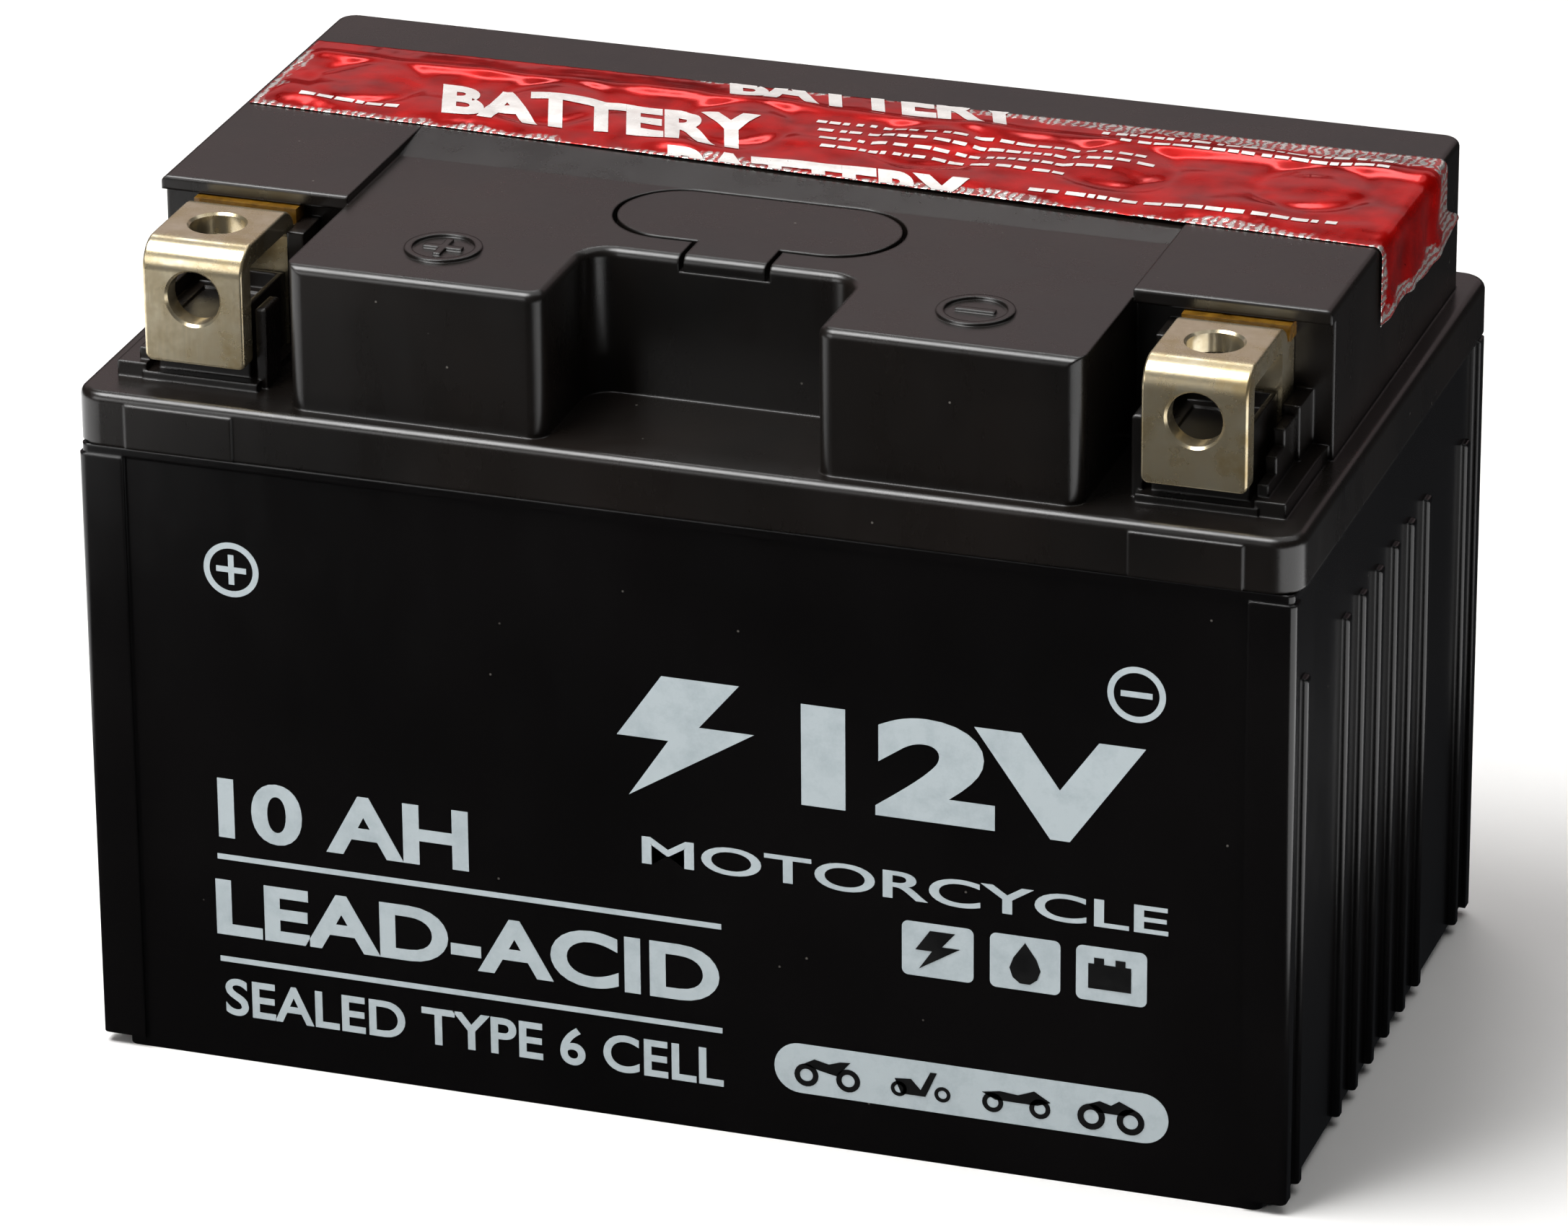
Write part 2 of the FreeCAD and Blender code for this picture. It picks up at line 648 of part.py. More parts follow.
def make_relief_valve():
    """The rubber cap on the vent nozzle, turned about its own axis."""
    body = doc.addObject("PartDesign::Body", "relief_valve_cap")
    sketch = slot_sketch(body, "cap_section", "XZ_Plane")
    inner = value_of("nozzle_radius") + value_of("valve_gap")
    outer = value_of("valve_radius")
    crown_low = value_of("nozzle_top") - value_of("valve_bottom")
    crown_high = crown_low + value_of("valve_crown")
    points = [(inner, 0), (outer, 0), (outer, crown_high),
              (0, crown_high), (0, crown_low), (inner, crown_low)]
    corners = [FreeCAD.Vector(x, y, 0) for x, y in points]
    for start, stop in zip(corners, corners[1:] + corners[:1]):
        sketch.addGeometry(Part.LineSegment(start, stop))
    for corner in range(6):
        sketch.addConstraint(Sketcher.Constraint("Coincident", corner, 2, (corner + 1) % 6, 1))
    for line in (0, 2, 4):
        sketch.addConstraint(Sketcher.Constraint("Horizontal", line))
        sketch.addConstraint(Sketcher.Constraint("Vertical", line + 1))
    sketch.addConstraint(Sketcher.Constraint("PointOnObject", 3, 1, -2))
    sketch.addConstraint(Sketcher.Constraint("PointOnObject", 0, 1, -1))
    measures = (("DistanceX", 0, 1, inner, "nozzle_radius + valve_gap"),
                ("DistanceX", 0, 2, outer, "valve_radius"),
                ("DistanceY", 5, 1, crown_low, "nozzle_top - valve_bottom"),
                ("DistanceY", 2, 2, crown_high, "nozzle_top - valve_bottom + valve_crown"))
    for number, (kind, line, end, start_value, text) in enumerate(measures):
        sketch.addConstraint(Sketcher.Constraint(kind, -1, 1, line, end, start_value))
        sketch.setExpression(f"Constraints[{14 + number}]", formula(text))
    turned = body.newObject("PartDesign::Revolution", "cap_turned")
    turned.Profile = sketch
    turned.ReferenceAxis = (sketch, ["V_Axis"])
    turned.Angle = 360
    body.setExpression("Placement.Base.x", formula("-well_x"))
    body.setExpression("Placement.Base.y", formula("-vent_y"))
    body.setExpression("Placement.Base.z", formula("valve_bottom"))
    return body


def make_flame_arrestor():
    """The porous disc that stops a flame from running back into the vent."""
    return cylinder("flame_arrestor", "arrestor_radius", "-well_x", "-vent_y",
                    ("arrestor_bottom", "arrestor_bottom + arrestor_height"))


def make_terminal(name, side):
    """A brass strip bent into a saddle: drilled front face, drilled top, rear leg down into the cell."""
    half = "terminal_width / 2"
    x = (f"{side} * terminal_x - {half}", f"{side} * terminal_x + {half}")
    outer = box(f"{name}_outer", x, ("-terminal_front", "-terminal_back"), ("leg_bottom", "terminal_top"))
    top = value_of("terminal_top")
    outer = fillet(f"{name}_bent", outer, [(lambda edge: along_x(edge) and at_height(edge, top), "bend")])
    inner = box(f"{name}_inner", (f"{x[0]} - 1", f"{x[1]} + 1"),
                ("-terminal_front + strip", "-terminal_back - strip"),
                ("leg_bottom - 1", "terminal_top - strip"))
    under = value_of("terminal_top") - value_of("strip")
    inner = fillet(f"{name}_inside", inner,
                   [(lambda edge: along_x(edge) and at_height(edge, under), "inner_bend")])
    front_low = box(f"{name}_front_end", (f"{x[0]} - 1", f"{x[1]} + 1"),
                    ("-terminal_front - 1", "-terminal_front + strip + 1"),
                    ("leg_bottom - 1", "terminal_foot"))
    front_hole = lying_cylinder(f"{name}_front_hole", "bolt_hole",
                                (f"{side} * terminal_x", "-terminal_front + strip + 1", "front_hole_z"),
                                "strip + 2", FreeCAD.Rotation(FreeCAD.Vector(1, 0, 0), 90))
    top_hole = cylinder(f"{name}_top_hole", "bolt_hole", f"{side} * terminal_x", "-top_hole_y",
                        ("terminal_top - strip - 1", "terminal_top + 1"))
    heel = box(f"{name}_heel", x, ("-terminal_back - strip / 2", "-heel_back"),
               ("step_top + 0.2", "heel_top"))
    saddle = cut(f"{name}_saddle", outer, [inner, front_low])
    saddle = fillet(f"{name}_eased", saddle, strip_edges(side))
    holes = [front_hole, top_hole] + hole_chamfers(name, side)
    return cut(name, fuse(f"{name}_heeled", [saddle, heel]), holes)


def strip_edges(side):
    """The long outer edges of the strip are eased and its front corners are rounded."""
    front = -value_of("terminal_front")
    foot = value_of("terminal_foot")
    top = value_of("terminal_top")

    def foot_corner(edge):
        points = ends(edge)
        across = len(points) == 2 and abs(points[0].y - points[1].y) > 1 and at_height(edge, foot)
        return across and all(point.y < front + value_of("strip") + tolerance for point in points)

    def long_edge(edge):
        points = ends(edge)
        middle = side * value_of("terminal_x")
        half = value_of("terminal_width") / 2
        on_side = all(abs(abs(point.x - middle) - half) < tolerance for point in points)
        on_front = all(abs(point.y - front) < tolerance for point in points)
        on_top = at_height(edge, top)
        bend = value_of("bend")
        on_bend = sorted((round(point.y - front, 3), round(top - point.z, 3)) for point in points) == [
            (0, bend), (bend, 0)]
        return len(points) == 2 and on_side and (on_front or on_top or on_bend)

    return [(foot_corner, "strip_corner"), (long_edge, "strip_edge")]


def hole_chamfers(name, side):
    """Small countersinks at the mouths of the two bolt holes."""
    cones = []
    x = f"{side} * terminal_x"
    for hole, turn, place in (
            ("front", FreeCAD.Rotation(FreeCAD.Vector(1, 0, 0), 90),
             (x, "-terminal_front + hole_chamfer", "front_hole_z")),
            ("top", FreeCAD.Rotation(), (x, "-top_hole_y", "terminal_top - hole_chamfer"))):
        cone = doc.addObject("Part::Cone", f"{name}_{hole}_chamfer")
        cone.Placement.Rotation = turn
        for size, text in (("Radius1", "bolt_hole"), ("Radius2", "bolt_hole + 2 * hole_chamfer"),
                           ("Height", "2 * hole_chamfer")):
            cone.setExpression(size, formula(text))
        for axis, text in zip("xyz", place):
            cone.setExpression(f"Placement.Base.{axis}", formula(text))
        cones.append(cone)
    return cones


def make_resin_seal(name, side):
    """The resin poured over the heel, behind the rear bend, to seal it."""
    half = "terminal_width / 2 + slot_gap"
    return box(name, bay_span(side, f"-({half})", half), ("-terminal_back", "-block_front"),
               ("heel_top", "resin_top"))


def make_post(name, side):
    """The lead post that carries the current from the end strap up to the terminal's leg."""
    half = "post_block_x / 2"
    middle_y = "(-terminal_back - strip / 2)"
    block = box(f"{name}_block", (f"{side} * terminal_x - {half}", f"{side} * terminal_x + {half}"),
                (f"{middle_y} - post_block_y / 2", f"{middle_y} + post_block_y / 2"),
                ("strap_top", "post_block_top"))
    socket = box(f"{name}_socket", (f"{side} * terminal_x - terminal_width / 2",
                                    f"{side} * terminal_x + terminal_width / 2"),
                 ("-terminal_back - strip", "-terminal_back"), ("leg_bottom", "post_block_top + 1"))
    return cut(name, block, [socket])


def make_foil():
    """The sealing foil: a band over the ports with a flap folded down over the right end."""
    low = "block_top + foil_gap"
    flap_inner = "block_x + foil_gap"
    band = box("foil_band", ("-foil_left", f"{flap_inner} + foil_thickness"), ("foil_front", "foil_back"),
               (low, f"{low} + foil_thickness"))
    flap = box("foil_flap", (flap_inner, f"{flap_inner} + foil_thickness"), ("foil_front", "foil_back"),
               ("foil_flap_bottom", low))
    return fuse("foil_seal", [band, flap])


def plate_starts():
    """Left faces of a cell's nine plates, from its left wall, and which polarity each has."""
    layers = []
    offset = "0"
    for number in range(9):
        polarity = "negative" if number % 2 == 0 else "positive"
        layers.append((polarity, offset))
        offset = f"{offset} + {polarity}_plate + separator"
    return layers


def make_cell(cell):
    """One cell: its plates with their lugs, its separators and its two straps."""
    stack = "(5 * negative_plate + 4 * positive_plate + 8 * separator)"
    start = f"{cell_middle(cell)} - {stack} / 2"
    plates = {"positive": [], "negative": []}
    lug_starts = {"positive": [], "negative": []}
    separators = []
    for number, (polarity, offset) in enumerate(plate_starts()):
        low = f"{start} + {offset}"
        high = f"{low} + {polarity}_plate"
        lug_y = f"{strap_side(cell, polarity)} * lug_y"
        tag = f"cell_{cell + 1}_{polarity}_{number}"
        grid = box(f"{tag}_grid", (low, high), ("-plate_half_width", "plate_half_width"),
                   ("plate_bottom", "plate_bottom + plate_height"))
        lug = box(f"{tag}_lug", (low, high), (f"{lug_y} - lug_width / 2", f"{lug_y} + lug_width / 2"),
                  ("plate_bottom + plate_height", "strap_bottom"))
        plates[polarity].append(fuse(f"{tag}_plate", [grid, lug]))
        lug_starts[polarity].append((low, high))
        if number < 8:
            separators.append(box(f"cell_{cell + 1}_mat_{number}", (high, f"{high} + separator"),
                                  ("-separator_half_width", "separator_half_width"),
                                  ("floor_top", "floor_top + separator_height")))
    pieces = [group(f"cell_{cell + 1}_{polarity}_plates", plates[polarity]) for polarity in plates]
    pieces.append(group(f"cell_{cell + 1}_separators", separators))
    for polarity, spans in lug_starts.items():
        pieces.append(make_strap(cell, polarity, spans[0][0], spans[-1][1]))
    return pieces


def make_strap(cell, polarity, first, last):
    """The lead bar over one set of lugs, with a riser against the partition where a link crosses it."""
    y = f"{strap_side(cell, polarity)} * lug_y"
    span_y = (f"{y} - strap_width / 2", f"{y} + strap_width / 2")
    name = f"cell_{cell + 1}_{polarity}_strap"
    links_left = polarity == "positive" and cell > 0
    links_right = polarity == "negative" and cell < cell_count - 1
    low = cell_side(cell, 0) if links_left else first
    high = cell_side(cell, 1) if links_right else last
    if not (links_left or links_right):
        return box(name, (low, high), span_y, ("strap_bottom", "strap_top"))
    bar = box(f"{name}_bar", (low, high), span_y, ("strap_bottom", "strap_top"))
    span_x = (low, f"{low} + riser") if links_left else (f"{high} - riser", high)
    riser = box(f"{name}_riser", span_x, span_y, ("strap_top", "riser_top"))
    return fuse(name, [bar, riser])


def make_parts():
    parts = [make_container(), make_cover(), make_vent_cover(), make_relief_valve(), make_flame_arrestor(),
             make_foil(), make_terminal("positive_terminal", -1), make_terminal("negative_terminal", 1),
             make_resin_seal("positive_resin_seal", -1), make_resin_seal("negative_resin_seal", 1),
             make_post("positive_post", -1), make_post("negative_post", 1),
             group("intercell_links", [make_link(cell, "link") for cell in range(cell_count - 1)])]
    for cell in range(cell_count):
        parts += make_cell(cell)
    return parts


def check_document():
    for feature in doc.Objects:
        if "Invalid" in feature.State or "Error" in feature.State:
            raise RuntimeError(f"{feature.Name} did not build: {feature.State}")


def write_parts(parts):
    os.makedirs("parts", exist_ok=True)
    for part in parts:
        shape = part.Shape
        if shape.isNull() or not shape.isValid() or not shape.Solids:
            raise RuntimeError(f"{part.Name} has no valid solid")
        part.Label = part.Name
        shape.exportStep(f"parts/{part.Label}.step")
        print(f"{part.Label}: {len(shape.Solids)} solid(s), {shape.Volume / 1000:.2f} cm3")


parts = make_parts()
doc.recompute()
check_document()
write_parts(parts)
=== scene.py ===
import math
import random
import bmesh
import bpy
from mathutils import Matrix, Vector, noise


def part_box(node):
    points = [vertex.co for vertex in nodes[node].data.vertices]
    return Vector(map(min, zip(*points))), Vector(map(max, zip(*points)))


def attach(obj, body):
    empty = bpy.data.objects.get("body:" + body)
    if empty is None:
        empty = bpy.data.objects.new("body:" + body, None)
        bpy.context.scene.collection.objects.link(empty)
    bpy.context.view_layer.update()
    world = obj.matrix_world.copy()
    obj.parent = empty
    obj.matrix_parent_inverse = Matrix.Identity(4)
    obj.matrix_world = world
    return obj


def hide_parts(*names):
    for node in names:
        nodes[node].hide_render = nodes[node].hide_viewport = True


# sizes in the dictionaries are millimetres, unless a note says metres
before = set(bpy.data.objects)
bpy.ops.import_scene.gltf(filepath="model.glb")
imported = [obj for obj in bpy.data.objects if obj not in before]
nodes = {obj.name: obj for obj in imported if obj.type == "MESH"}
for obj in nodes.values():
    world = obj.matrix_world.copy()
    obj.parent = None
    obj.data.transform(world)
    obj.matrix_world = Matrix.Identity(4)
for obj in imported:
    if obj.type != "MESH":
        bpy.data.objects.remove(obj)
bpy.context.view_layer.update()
scene = bpy.context.scene
mm = 0.001
print("stage: frame loaded,", len(nodes), "nodes")


# an sRGB hex colour as linear values
def linear(code):
    channels = [int(code[i:i + 2], 16) / 255 for i in (1, 3, 5)]
    return tuple(c / 12.92 if c <= 0.04045 else ((c + 0.055) / 1.055) ** 2.4 for c in channels) + (1.0,)


# adds a node, with its settings or fixed inputs, and links what feeds it
def addNode(tree, kind, settings=None, links=None):
    node = tree.nodes.new(kind)
    for name, value in (settings or {}).items():
        if isinstance(name, int) or name in node.inputs:
            node.inputs[name].default_value = value
        else:
            setattr(node, name, value)
    for name, source in (links or {}).items():
        tree.links.new(source, node.inputs[name])
    return node


def newMaterial(name):
    material = bpy.data.materials.new(name)
    material.use_nodes = True
    tree = material.node_tree
    surface = tree.nodes["Principled BSDF"]
    place = addNode(tree, "ShaderNodeTexCoord").outputs["Object"]
    return material, tree, surface, place


# noise whose lumps are about `size` millimetres across, 0 to 1
def lumps(tree, place, size, detail=3.0, rough=0.55, stretch=None):
    if stretch:
        place = addNode(tree, "ShaderNodeMapping", {"Scale": stretch}, {"Vector": place}).outputs["Vector"]
    return addNode(tree, "ShaderNodeTexNoise", {"Scale": 1000 / size, "Detail": detail, "Roughness": rough},
                   {"Vector": place}).outputs["Fac"]


# settings of a Map Range node; the middle of a noise is what spreads over low to high
def onto(low, high, fromLow=0.3, fromHigh=0.7):
    return {"From Min": fromLow, "From Max": fromHigh, "To Min": low, "To Max": high}


# a colour that goes from first to second as the signal rises; each is a hex code or another node's output
def shade(tree, signal, first, second, most=1, window=(0.3, 0.7)):
    share = addNode(tree, "ShaderNodeMapRange", onto(0, most, *window), {"Value": signal})
    mixed = addNode(tree, "ShaderNodeMix", {"data_type": "RGBA"}, {0: share.outputs["Result"]})
    for socket, colour in ((6, first), (7, second)):
        if isinstance(colour, str):
            mixed.inputs[socket].default_value = linear(colour)
        else:
            tree.links.new(colour, mixed.inputs[socket])
    return mixed.outputs[2]


# gloss follows one signal; relief follows another, over whatever normal lies under it
def finishSurface(tree, surface, gloss, roughness, relief=None, depth=0, under=None):
    rough = addNode(tree, "ShaderNodeMapRange", onto(*roughness), {"Value": gloss})
    tree.links.new(rough.outputs["Result"], surface.inputs["Roughness"])
    if relief is None:
        return
    bump = addNode(tree, "ShaderNodeBump", {"Distance": depth * mm, "Strength": 1.0}, {"Height": relief})
    if under is not None:
        tree.links.new(under, bump.inputs["Normal"])
    tree.links.new(bump.outputs["Normal"], surface.inputs["Normal"])


# gives CAD nodes a material
def paint(names, material):
    for name in names:
        mesh = nodes[name].data
        mesh.materials.clear()
        mesh.materials.append(material)


# edge: how far sharp edges are rounded in the shading; a speck of dust fades out over shares of apart
plastic = {
    "case": {"dark": "#060505", "light": "#0b0909", "roughness": (0.17, 0.26), "grain": 0.35,
             "depth": 0.004, "specular": 0.42, "edge": 0.5},
    "cover": {"dark": "#0a0908", "light": "#17120f", "roughness": (0.24, 0.34), "grain": 0.3,
              "depth": 0.006, "specular": 0.5, "edge": 0.45},
    "cloud": 38, "smear": 9,
    "dust": {"colour": "#6e6a64", "apart": 6.5, "fade": (0.012, 0.03), "strength": 0.55},
}


def makePlastic(name, look):
    material, tree, surface, place = newMaterial(name)
    dust = plastic["dust"]
    cloudy = lumps(tree, place, plastic["cloud"], detail=4)
    fine = lumps(tree, place, look["grain"], detail=2)
    specks = addNode(tree, "ShaderNodeTexVoronoi", {"Scale": 1000 / dust["apart"], "Randomness": 1.0},
                     {"Vector": place})
    speck = addNode(tree, "ShaderNodeMapRange", onto(1, 0, *dust["fade"]),
                    {"Value": specks.outputs["Distance"]})
    colour = shade(tree, cloudy, look["dark"], look["light"])
    dusty = shade(tree, speck.outputs["Result"], colour, dust["colour"], dust["strength"], (0, 1))
    tree.links.new(dusty, surface.inputs["Base Color"])
    smear = lumps(tree, place, plastic["smear"], detail=5, rough=0.7, stretch=(1, 1, 0.35))
    rounded = addNode(tree, "ShaderNodeBevel", {"samples": 8, "Radius": look["edge"] * mm})
    finishSurface(tree, surface, smear, look["roughness"], fine, look["depth"], rounded.outputs["Normal"])
    surface.inputs["Specular IOR Level"].default_value = look["specular"]
    return material


# polypropylene moulded in a polished tool: near black, clear reflections, slightly smeared
casePlastic = makePlastic("polypropylene gloss black", plastic["case"])
# polypropylene moulded in a plainer tool: a warmer black with blurred reflections and specks of dust
coverPlastic = makePlastic("polypropylene satin black", plastic["cover"])
paint(["container"], casePlastic)
paint(["cover", "vent_cover"], coverPlastic)
print("stage: plastics")


brass = {"bright": "#cbc1a8", "warm": "#a5926b", "roughness": (0.2, 0.32), "metallic": 0.86,
         "brush": 0.5, "stain": 5, "depth": 0.004}


# tinned brass strip, brushed: pale silvery gold, with soft streaks and warmer tarnished patches
def makeBrass():
    material, tree, surface, place = newMaterial("brass tinned")
    brushed = lumps(tree, place, brass["brush"], detail=3, rough=0.6, stretch=(1, 1, 0.06))
    tarnish = lumps(tree, place, brass["stain"], detail=5, rough=0.65)
    tree.links.new(shade(tree, tarnish, brass["bright"], brass["warm"]), surface.inputs["Base Color"])
    finishSurface(tree, surface, tarnish, brass["roughness"], brushed, brass["depth"])
    surface.inputs["Metallic"].default_value = brass["metallic"]
    return material


paint(["positive_terminal", "negative_terminal"], makeBrass())


# seep: how far red, green and blue light travel inside, in metres
resin = {"deep": "#3a2405", "light": "#7d5a1c", "roughness": (0.08, 0.2), "cloud": 3, "depth": 0.05,
         "glow": 0.3, "seep": (0.003, 0.0015, 0.0005)}


# poured epoxy resin: dark honey, wet looking, cloudy inside
def makeResin():
    material, tree, surface, place = newMaterial("epoxy resin amber")
    cloudy = lumps(tree, place, resin["cloud"], detail=4)
    tree.links.new(shade(tree, cloudy, resin["deep"], resin["light"]), surface.inputs["Base Color"])
    finishSurface(tree, surface, cloudy, resin["roughness"], cloudy, resin["depth"])
    surface.inputs["Subsurface Weight"].default_value = resin["glow"]
    surface.inputs["Subsurface Radius"].default_value = resin["seep"]
    return material


paint(["positive_resin_seal", "negative_resin_seal"], makeResin())


# size is the width of a grain
inside = {
    # cast lead: dull blue grey with frosty patches
    "lead": {"name": "lead cast", "dark": "#4d5054", "light": "#7d8186", "size": 2.2,
             "roughness": (0.38, 0.6), "depth": 0.03, "metallic": 0.9},
    # pasted and cured lead dioxide: chocolate brown and chalky
    "dioxide": {"name": "lead dioxide paste", "dark": "#2c1a12", "light": "#4a3023", "size": 0.6,
                "roughness": (0.75, 0.95), "depth": 0.06, "metallic": 0.0},
    # pasted sponge lead: mid grey and chalky
    "sponge": {"name": "sponge lead paste", "dark": "#55585a", "light": "#7b7f80", "size": 0.7,
               "roughness": (0.65, 0.85), "depth": 0.05, "metallic": 0.0},
    # pressed glass fibre: white felt without gloss
    "mat": {"name": "glass fibre mat", "dark": "#d3d2cb", "light": "#f1f0ea", "size": 0.4,
            "roughness": (0.85, 1.0), "depth": 0.08, "metallic": 0.0},
    # moulded rubber: flat black
    "rubber": {"name": "EPDM rubber", "dark": "#141414", "light": "#232322", "size": 0.8,
               "roughness": (0.6, 0.8), "depth": 0.02, "metallic": 0.0},
    # sintered polypropylene beads: off-white and grainy
    "porous": {"name": "porous polypropylene", "dark": "#bdbbb2", "light": "#e2e0d8", "size": 0.3,
               "roughness": (0.8, 0.95), "depth": 0.09, "metallic": 0.0},
}
stains = {"toGrain": 14, "strength": 0.5}


def makeGrainy(look):
    material, tree, surface, place = newMaterial(look["name"])
    grains = lumps(tree, place, look["size"], detail=4, rough=0.65)
    stained = lumps(tree, place, look["size"] * stains["toGrain"], detail=3)
    colour = shade(tree, grains, look["dark"], look["light"])
    stainedColour = shade(tree, stained, colour, look["dark"], stains["strength"])
    tree.links.new(stainedColour, surface.inputs["Base Color"])
    finishSurface(tree, surface, stained, look["roughness"], grains, look["depth"])
    surface.inputs["Metallic"].default_value = look["metallic"]
    return material


innerLooks = {key: makeGrainy(look) for key, look in inside.items()}
endings = {"positive_plates": "dioxide", "negative_plates": "sponge", "separators": "mat", "strap": "lead",
           "post": "lead", "links": "lead", "valve_cap": "rubber", "arrestor": "porous"}
for nodeName in nodes:
    for ending, key in endings.items():
        if nodeName.endswith(ending):
            paint([nodeName], innerLooks[key])
print("stage: metals and inner pieces")


# a foil strip glued over the six filler ports and folded down over the right end
foil = {
    "left": -71.3, "edge": 72.5, "top": 105.0, "gap": 0.12, "thickness": 0.06,
    "frontLeft": 5.4, "frontRight": 0.2, "backLeft": 28.2, "backRight": 30.3,
    "fold": 1.1, "flap": 9.6, "columns": 470, "rows": 84,
    "tear": 6.2, "tearFrom": 4.8, "tearOver": 4, "ragged": 0.05,
    "puff": 0.7, "wrinkle": 0.1, "ridge": 0.45,
    "ridgeAt": 0.76, "ridgeWidth": 0.06, "glued": 0.16,    # shares of the width
    "firstPort": -59.958, "portPitch": 23.983, "portY": 15.5, "portCount": 6,
    "dome": 0.3, "domeRadius": 4.6, "dent": 0.22, "dentRadius": 6.8, "dentWidth": 1.1,
    "flatWidth": 26.5, "flatLength": 152.5,
}
# bareMargin: how far the bare edge reaches in, which changes every bareSpot; tick: how far apart the ticks are
foilPaint = {
    # the darker red is painted shade, laid into the hollows of the foil's folds over the lacquer's own red
    "red": "#c40803", "foldShadeRed": "#8c0301", "silver": "#e9e6e1", "roughness": (0.14, 0.24),
    "metallic": (0.6, 0.8), "specular": 0.2, "coat": 0.12, "coatRoughness": 0.06,
    "wave": 5, "crumple": 0.07, "crimp": 0.07, "tick": 1.0833,
    "bareMargin": (-0.6, 2.6), "bareFade": (-0.4, 0.2), "bareSpot": 9,
}
foilRun = foil["edge"] - foil["left"]
ports = [(foil["firstPort"] + foil["portPitch"] * cell, foil["portY"]) for cell in range(foil["portCount"])]


def smooth(value):
    value = min(max(value, 0.0), 1.0)
    return value * value * (3 - 2 * value)


# how far the foil stands off: puffed air, glued rings round the ports and one long crease
# v runs from 0 at the front edge to 1 at the back edge
def foilLift(along, y, v):
    x = along + foil["left"]
    free = smooth(min(v, 1 - v) / foil["glued"]) * smooth(along / 3)
    broad = noise.noise(Vector((x / 12, y / 7, 3.1))) * 0.6 + noise.noise(Vector((x / 6, y / 9, 9.4))) * 0.3
    small = noise.noise(Vector((x / 4.5, y / 2.6, 7.7)))
    ridgeLine = foil["ridgeAt"] + 0.05 * noise.noise(Vector((x / 15, 0, 2)))
    ridge = math.exp(-((v - ridgeLine) / foil["ridgeWidth"]) ** 2)
    lift = foil["puff"] * (0.55 + broad) + foil["wrinkle"] * small + foil["ridge"] * ridge
    for portX, portY in ports:
        distance = math.hypot(x - portX, y - portY)
        lift += foil["dome"] * math.exp(-(distance / foil["domeRadius"]) ** 2)
        lift -= foil["dent"] * math.exp(-((distance - foil["dentRadius"]) / foil["dentWidth"]) ** 2)
    edge = 0.05 * (1 + noise.noise(Vector((x / 0.9, y / 3, 1.3))))
    return max(lift * free, 0.0) + edge * (1 - free)


# where the front and back edges are, since they run slightly apart
def foilEdges(along):
    share = min(along / foilRun, 1.0)
    front = foil["frontLeft"] + (foil["frontRight"] - foil["frontLeft"]) * share
    return front, foil["backLeft"] + (foil["backRight"] - foil["backLeft"]) * share


# a point on the foil: `along` runs over the block and down the end, `over` is extra height above the sheet
def foilPoint(along, y, v, over=0.0):
    radius = foil["fold"]
    past = along - foilRun + radius
    turn = min(max(past / radius, 0.0), math.pi / 2)
    down = max(past - radius * math.pi / 2, 0.0)
    if past <= 0:
        x, z = foil["left"] + along, foil["top"] + foil["gap"]
    else:
        x = foil["edge"] - radius + radius * math.sin(turn)
        z = foil["top"] + foil["gap"] - radius * (1 - math.cos(turn)) - down
    lift = foilLift(along, y, v) + over
    flare = foil["tear"] * smooth((down - foil["tearFrom"]) / foil["tearOver"]) * max(v, 0.0) ** 5
    return Vector((x + lift * math.sin(turn), y + flare, z + lift * math.cos(turn))) * mm


# turns a bmesh into a finished piece on its body
def finishPiece(mesh, name, material, body, smoothFaces=False):
    bmesh.ops.recalc_face_normals(mesh, faces=mesh.faces)
    data = bpy.data.meshes.new(name)
    mesh.to_mesh(data)
    mesh.free()
    data.materials.append(material)
    for polygon in data.polygons:
        polygon.use_smooth = smoothFaces
    piece = bpy.data.objects.new(name, data)
    scene.collection.objects.link(piece)
    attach(piece, body)
    return piece


def makeFoil(material):
    mesh = bmesh.new()
    bmesh.ops.create_grid(mesh, x_segments=foil["columns"], y_segments=foil["rows"], size=0.5)
    layer = mesh.loops.layers.uv.new("band")
    place = {}
    for vert in mesh.verts:
        v = vert.co.y + 0.5
        uneven = noise.noise(Vector((v * 9, 4.2, 0))) - math.sin(v * 7)
        torn = foil["flap"] * (1 + foil["ragged"] * uneven)
        along = (vert.co.x + 0.5) * (foilRun + torn)
        front, back = foilEdges(along)
        place[vert] = (along * mm, (back - front) * v * mm)
        vert.co = foilPoint(along, front + (back - front) * v, v)
    for face in mesh.faces:
        for loop in face.loops:
            loop[layer].uv = place[loop.vert]
    bmesh.ops.solidify(mesh, geom=mesh.faces[:], thickness=foil["thickness"] * mm)
    return finishPiece(mesh, "foilSeal", material, "foil", True)
